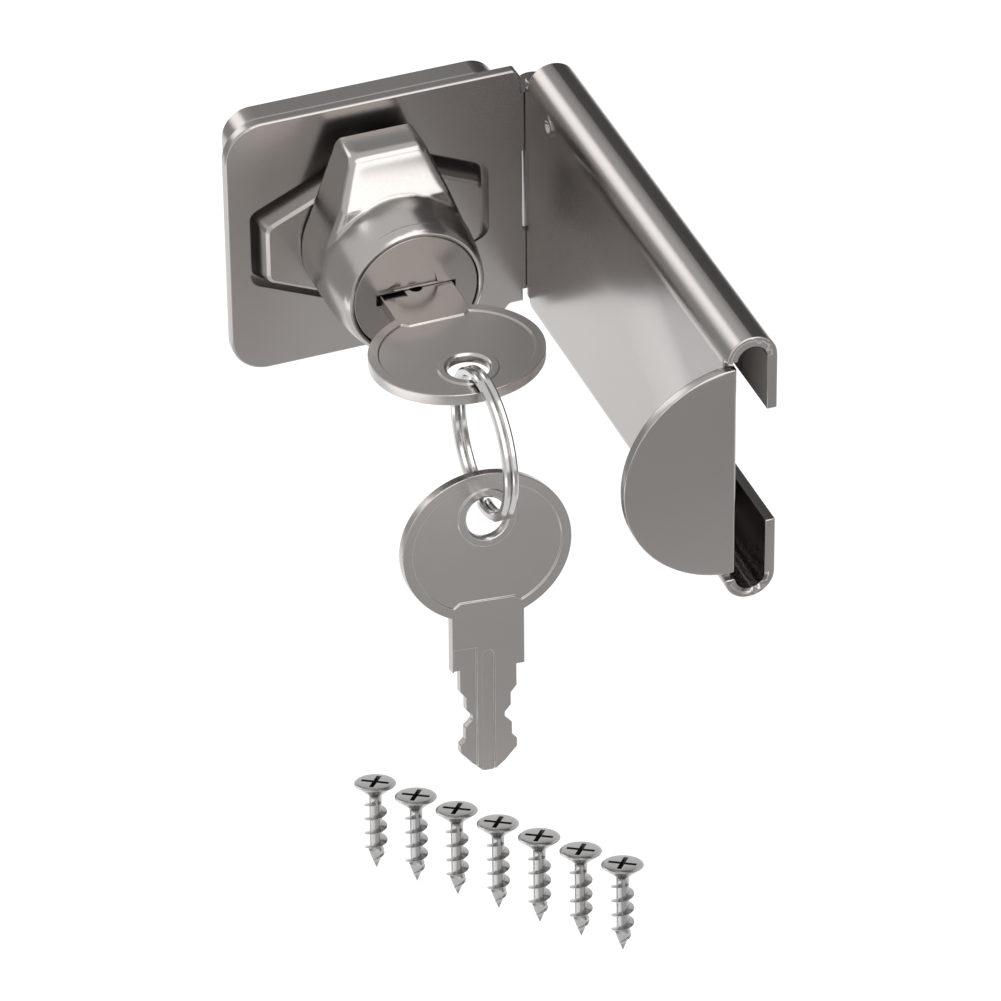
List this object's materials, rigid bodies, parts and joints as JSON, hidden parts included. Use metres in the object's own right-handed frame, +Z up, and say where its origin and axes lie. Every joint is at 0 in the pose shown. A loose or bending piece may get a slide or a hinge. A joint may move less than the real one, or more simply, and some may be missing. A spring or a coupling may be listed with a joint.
{
  "type": "sliding door latch",
  "caption": "Keyed hasp latch: shallow base with hexagonal boss, winged knob with key cylinder, hinged channel leaf with thumb tab sliding on a rail, keys on a split ring and loose screws.",
  "frame": {"origin": "on the mounting plane at the back of the base, at the centre of its four screw holes, on the knob's axis", "axes": "+Y into the door, so the front faces -Y; +X from the knob towards the hinge; +Z up"},
  "size_m": [0.0567, 0.0873, 0.1204],
  "materials": {
    "satin_nickel": "satin",
    "spring_steel": "polished",
    "plated_brass": "nickel plated, polished",
    "brass": "plain",
    "zinc_steel": "bright zinc"
  },
  "bodies": {
    "lock_base": {"base_housing": "satin_nickel", "hasp_plate": "satin_nickel", "hinge_pin": "satin_nickel", "wood_screws": "zinc_steel"},
    "knob": {"knob_body": "satin_nickel", "wave_washer": "spring_steel", "stop_washer": "spring_steel", "spindle_ring": "spring_steel"},
    "plug": {"plug_barrel": "plated_brass", "plug_cap": "satin_nickel", "plug_clip": "spring_steel", "drive_pin": "spring_steel", "wafer_plates": "brass", "wafer_springs": "spring_steel"},
    "bolt": {"lock_bolt": "spring_steel"},
    "key": {"key_inserted": "plated_brass"},
    "ring": {"key_ring": "spring_steel"},
    "spare": {"key_spare": "plated_brass"},
    "strap": {"strap_channel": "satin_nickel", "stop_rivet": "satin_nickel"},
    "rail": {"mount_rail": "satin_nickel"}
  },
  "joints": [
    {"name": "knob_turn", "type": "hinge", "parent": "lock_base", "child": "knob", "pos_m": [0, 0, 0], "axis": [0, 1, 0], "range_deg": [0, 90]},
    {"name": "plug_turn", "type": "hinge", "parent": "knob", "child": "plug", "pos_m": [0, 0, 0], "axis": [0, 1, 0], "range_deg": [0, 90]},
    {"name": "bolt_slide", "type": "slide", "parent": "knob", "child": "bolt", "axis": [1, 0, 0], "range_m": [0, 0.00227]},
    {"name": "key_slide", "type": "slide", "parent": "plug", "child": "key", "axis": [0, -1, 0], "range_m": [0, 0.0195]},
    {"name": "ring_swing", "type": "hinge", "parent": "key", "child": "ring", "pos_m": [0, -0.05364, 0], "axis": [0, 1, 0], "range_deg": [-12, 12]},
    {"name": "spare_swing", "type": "hinge", "parent": "ring", "child": "spare", "pos_m": [0, -0.05489, -0.02005], "axis": [1, 0, 0], "range_deg": [-13, 38]},
    {"name": "strap_fold", "type": "hinge", "parent": "lock_base", "child": "strap", "pos_m": [0.0281, -0.0031, 0], "axis": [0, 0, 1], "range_deg": [0, 90]},
    {"name": "rail_slide", "type": "slide", "parent": "strap", "child": "rail", "axis": [0, -1, 0], "range_m": [0, 0.06]}
  ],
  "couplings": [
    {"joint": "bolt_slide", "follows": "plug_turn", "m_per_rad": 0.0014405}
  ]
}
